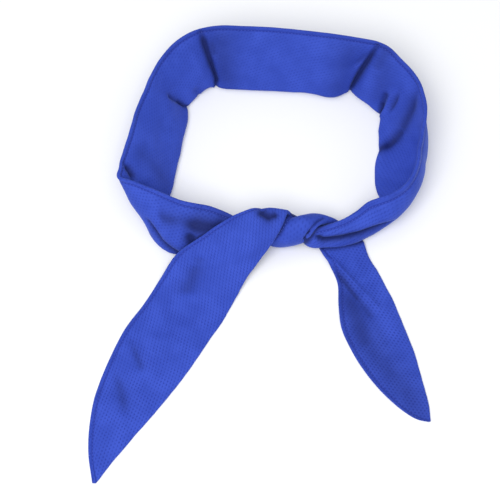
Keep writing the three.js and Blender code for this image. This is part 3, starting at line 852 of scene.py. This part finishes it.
def calculate(tree, operation, *values):
    node = tree.nodes.new("ShaderNodeMath")
    node.operation = operation
    for socket, value in zip(node.inputs, values):
        if isinstance(value, (int, float)):
            socket.default_value = value
        else:
            tree.links.new(value, socket)
    return node.outputs[0]


def blend_colours(tree, factor, first, second):
    node = tree.nodes.new("ShaderNodeMix")
    node.data_type = "RGBA"
    tree.links.new(factor, node.inputs["Factor"])
    for socket, value in zip(node.inputs[6:8], (first, second)):
        if isinstance(value, tuple):
            socket.default_value = value
        else:
            tree.links.new(value, socket)
    return node.outputs[2]


def grade(tree, value, low, high, low_to=0.0, high_to=1.0):
    """A smooth change from low_to to high_to as the value goes from low to high."""
    node = tree.nodes.new("ShaderNodeMapRange")
    node.interpolation_type = "SMOOTHSTEP"
    tree.links.new(value, node.inputs["Value"])
    node.inputs["From Min"].default_value = low
    node.inputs["From Max"].default_value = high
    node.inputs["To Min"].default_value = low_to
    node.inputs["To Max"].default_value = high_to
    return node.outputs["Result"]


def noise_of(tree, vector, scale, detail=2.0):
    node = tree.nodes.new("ShaderNodeTexNoise")
    tree.links.new(vector, node.inputs["Vector"])
    node.inputs["Scale"].default_value = scale
    node.inputs["Detail"].default_value = detail
    return node.outputs["Fac"]


def attribute_of(tree, name):
    node = tree.nodes.new("ShaderNodeAttribute")
    node.attribute_name = name
    return node.outputs["Fac"]


def mesh_knit():
    """Royal-blue bird's-eye mesh knit: slanted rows of small holes, a soft sheen, a slightly deeper
    rolled hem, and shade painted into the stitch groove, crease bottoms and overlapped cloth."""
    material, tree, shader = node_tree("blue_mesh_knit")
    flat = tree.nodes.new("ShaderNodeUVMap")
    flat.uv_map = "flat"
    place = tree.nodes.new("ShaderNodeTexCoord").outputs["Object"]
    total = None
    for values in KNIT_WAVES:
        wave = dict(zip(WAVE_COLUMNS, values))
        turn = math.radians(wave["turn"])
        rate = 2 * math.pi / (wave["pitch"] * MM)
        dot = tree.nodes.new("ShaderNodeVectorMath")
        dot.operation = "DOT_PRODUCT"
        tree.links.new(flat.outputs["UV"], dot.inputs[0])
        dot.inputs[1].default_value = (rate * math.cos(turn), rate * math.sin(turn), 0)
        ripple = calculate(tree, "COSINE", dot.outputs["Value"])
        ripple = calculate(tree, "MULTIPLY", ripple, wave["weight"])
        total = ripple if total is None else calculate(tree, "ADD", total, ripple)
    fuzz = noise_of(tree, place, FUZZ_FINE)
    worn = noise_of(tree, place, WORN_BROAD)
    uneven = calculate(tree, "MULTIPLY_ADD", fuzz, HOLE_FUZZ, -HOLE_FUZZ / 2)
    holes = grade(tree, calculate(tree, "ADD", total, uneven), *HOLE_SHADES)
    holes = calculate(tree, "MULTIPLY", holes, attribute_of(tree, "clear"))

    hem_widths = calculate(tree, "DIVIDE", attribute_of(tree, "from_hem"), HEM_WIDTH)
    lip = grade(tree, hem_widths, *LIP_END_SHADES, 1.0, 0.0)
    groove_in = grade(tree, hem_widths, *GROOVE_SHADES)
    groove_out = grade(tree, hem_widths, *GROOVE_END_SHADES, 1.0, 0.0)
    groove = calculate(tree, "MULTIPLY", groove_in, groove_out)

    tone = blend_colours(tree, grade(tree, worn, *NOISE_BAND), ROYAL_BLUE, SOFT_BLUE)
    tone = blend_colours(tree, calculate(tree, "MULTIPLY", lip, LIP_DEEPER), tone, DEEP_BLUE)
    open_holes = grade(tree, noise_of(tree, place, HOLES_VARY), *HOLES_BAND, *HOLE_DEPTHS)
    dark = calculate(tree, "MULTIPLY", holes, open_holes)
    # the stitch groove is darkened with painted shade; the holes are the knit's own pattern
    dark = calculate(tree, "MAXIMUM", dark, calculate(tree, "MULTIPLY", groove, GROOVE_PAINTED_SHADE))
    tone = blend_colours(tree, dark, tone, DEEP_BLUE)
    # shade painted into creases and under overlaps
    painted_shade_mix = grade(tree, attribute_of(tree, "painted_shade"), *PAINTED_SHADE_RANGE, 0.0, PAINTED_SHADE_DEEPEST)
    tree.links.new(blend_colours(tree, painted_shade_mix, tone, PAINTED_SHADE_BLUE), shader.inputs["Base Color"])

    fuzz_height = calculate(tree, "MULTIPLY", fuzz, FUZZ_HEIGHT)
    height = calculate(tree, "SUBTRACT", fuzz_height, holes)
    bump = tree.nodes.new("ShaderNodeBump")
    bump.inputs["Strength"].default_value = 0.6
    bump.inputs["Distance"].default_value = KNIT_DEEP
    tree.links.new(height, bump.inputs["Height"])
    tree.links.new(bump.outputs["Normal"], shader.inputs["Normal"])
    rough = grade(tree, fuzz, *NOISE_BAND, *ROUGHNESS)
    tree.links.new(rough, shader.inputs["Roughness"])
    shader.inputs["Specular IOR Level"].default_value = 0.2
    shader.inputs["Sheen Weight"].default_value = 0.28
    shader.inputs["Sheen Roughness"].default_value = 0.35
    shader.inputs["Sheen Tint"].default_value = SHEEN_BLUE
    return material


def blue_thread():
    material, tree, shader = node_tree("blue_thread")
    place = tree.nodes.new("ShaderNodeTexCoord").outputs["Object"]
    twist = noise_of(tree, place, THREAD_TWIST)
    tone = blend_colours(tree, twist, THREAD_DEEP, THREAD_LIGHT)
    tree.links.new(tone, shader.inputs["Base Color"])
    shader.inputs["Roughness"].default_value = 0.55
    shader.inputs["Sheen Weight"].default_value = 0.15
    return material


def floor_and_light():
    floor = bmesh.new()
    bmesh.ops.create_grid(floor, x_segments=1, y_segments=1, size=FLOOR_HALF)
    mesh = bpy.data.meshes.new("studio_floor")
    floor.to_mesh(mesh)
    floor.free()
    table = bpy.data.objects.new("studio_floor", mesh)
    bpy.context.scene.collection.objects.link(table)
    material, tree, shader = node_tree("pale_floor")
    shader.inputs["Base Color"].default_value = FLOOR_WHITE
    shader.inputs["Roughness"].default_value = 0.9
    mesh.materials.append(material)

    world = bpy.data.worlds.new("soft_studio")
    world.use_nodes = True
    sky = world.node_tree.nodes["Background"]
    sky.inputs["Color"].default_value = SKY_WHITE
    sky.inputs["Strength"].default_value = SKY_STRENGTH
    bpy.context.scene.world = world

    light = bpy.data.lights.new("key_panel", "AREA")
    light.size = PANEL_WIDE
    light.energy = PANEL_POWER
    panel = bpy.data.objects.new("key_panel", light)
    panel.location = PANEL_AT
    panel.rotation_euler = (-Vector(PANEL_AT)).to_track_quat("-Z", "Y").to_euler()
    bpy.context.scene.collection.objects.link(panel)


def photo_camera():
    camera = bpy.data.cameras.new("photo_camera")
    camera.lens = LENS
    camera.sensor_width = SENSOR
    eye = bpy.data.objects.new("photo_camera", camera)
    back = Vector((0, -math.cos(LOOK_DOWN), math.sin(LOOK_DOWN)))
    eye.location = TABLE_ZERO + back * CAMERA_AWAY
    eye.rotation_euler = (math.pi / 2 - LOOK_DOWN, 0, 0)
    bpy.context.scene.collection.objects.link(eye)
    bpy.context.scene.camera = eye


surface = strip_surface()
press_cloth(surface)
whole = strip_mesh(surface)
full_normal = whole.verts.layers.float_vector.new("full_normal")
whole.normal_update()
for vertex in whole.verts:
    vertex[full_normal] = vertex.normal
band_start = ring_at(surface, ("loop", FIRST_PADDED))
band_end = ring_at(surface, ("loop", LAST_PADDED))
last_ring = len(surface["rows"]) - 1
padded_band = lay_piece("padded_band", whole, band_start, band_end)
left_tie_cloth = lay_piece("left_tie_cloth", whole, 0, band_start)
right_tie_cloth = lay_piece("right_tie_cloth", whole, band_end, last_ring)
whole.free()
stitches = hem_stitches(surface)

knit = mesh_knit()
for piece in (padded_band, left_tie_cloth, right_tie_cloth):
    piece.data.materials.append(knit)
stitches.data.materials.append(blue_thread())

floor_and_light()
photo_camera()
bpy.context.scene.view_settings.view_transform = "Standard"

for piece, node, slot in (
    (padded_band, "neck_band", "padded_cloth"),
    (left_tie_cloth, "left_tie", "tie_cloth"),
    (right_tie_cloth, "right_tie", "tie_cloth"),
):
    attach(piece, "root")
    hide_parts(node)
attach(stitches, "root")
